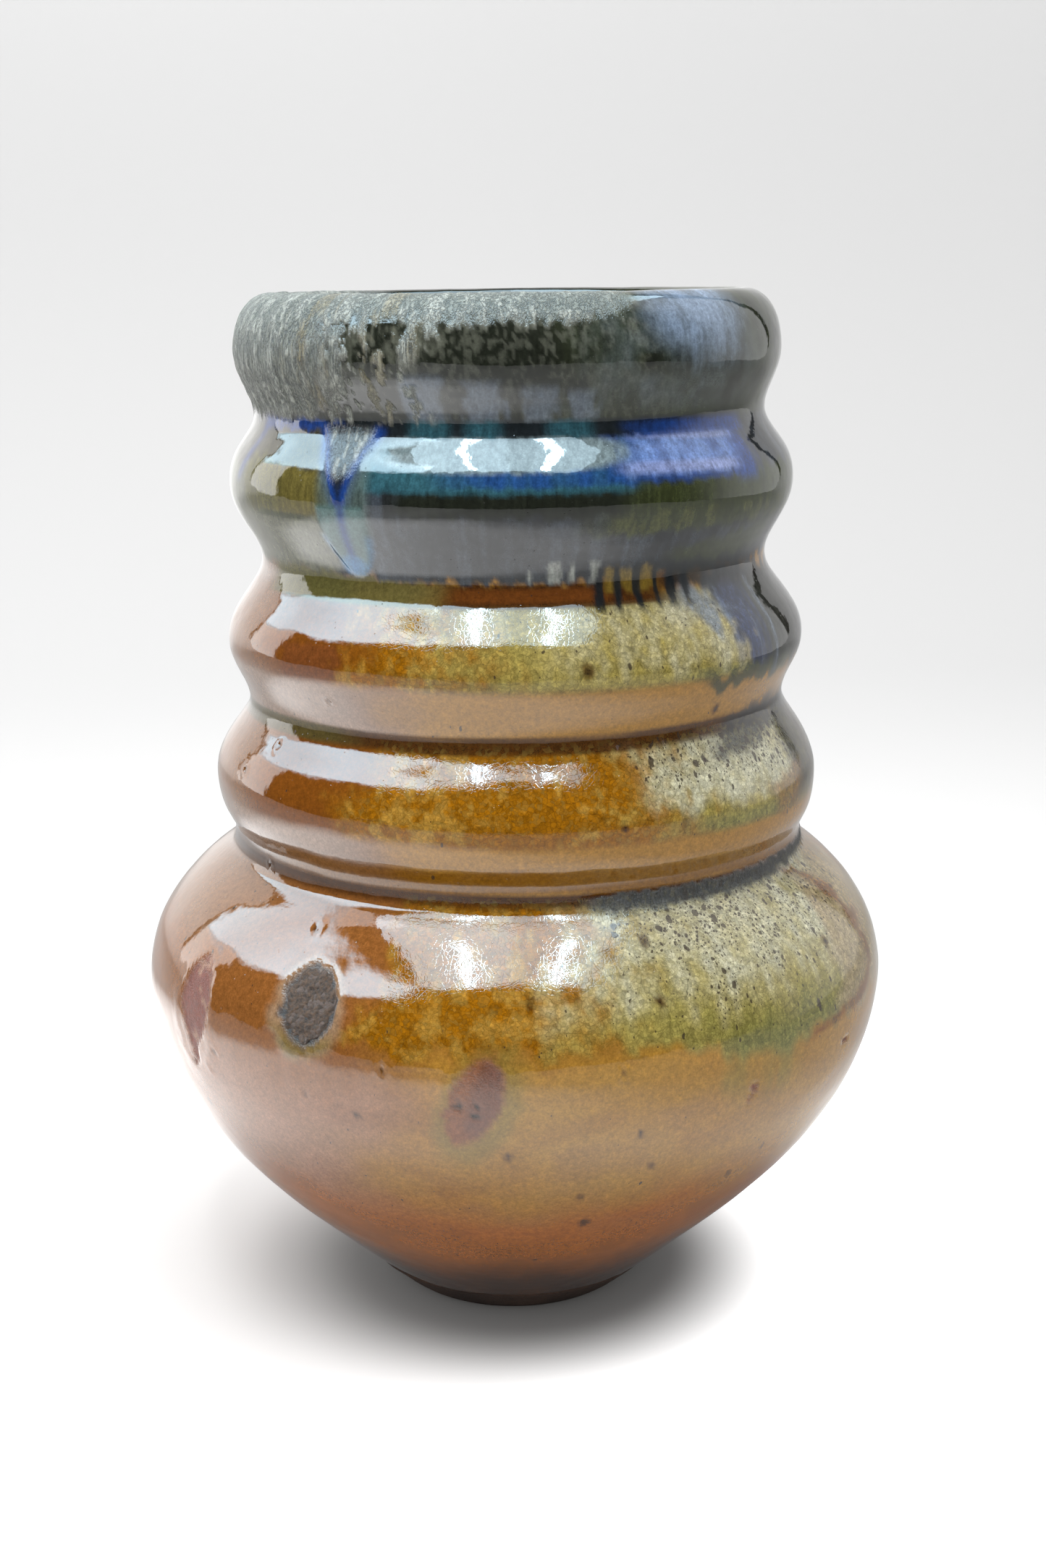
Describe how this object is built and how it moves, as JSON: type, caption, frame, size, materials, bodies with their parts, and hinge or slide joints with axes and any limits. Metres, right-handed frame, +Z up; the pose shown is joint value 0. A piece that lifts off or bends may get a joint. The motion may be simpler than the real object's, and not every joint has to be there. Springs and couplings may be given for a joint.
{
  "type": "stoneware vase",
  "caption": "Tall wood-fired stoneware vase with a round bowl, a wide ribbed neck, a rolled lip and layered ash and cobalt glazes.",
  "frame": {"origin": "centre of the foot, on the surface that the vase stands on", "axes": "+Z up the vase to its mouth, -Y towards the front with the firing scars, +X to the right seen from the front"},
  "size_m": [0.2216, 0.2216, 0.3008],
  "materials": {
    "stoneware_clay": "bare wood-fired stoneware, toasted red-brown, dry and slightly gritty",
    "luting_slip": "fired joining slip, matte buff",
    "ash_glaze": "glossy amber and olive ash glaze, finely crackled, with iron specks",
    "cobalt_glaze": "very glossy blue-black glaze with pale blue opalescent runs and grey crusted ash",
    "liner_glaze": "thin glossy olive-brown liner glaze",
    "wad_grit": "rough, dry, dark grit"
  },
  "bodies": {
    "root": {"lower_body": "stoneware_clay", "neck": "stoneware_clay", "seam_slip": "luting_slip", "body_glaze": "ash_glaze", "neck_glaze": "cobalt_glaze", "liner_glaze": "liner_glaze", "wad_residue": "wad_grit"}
  },
  "joints": []
}
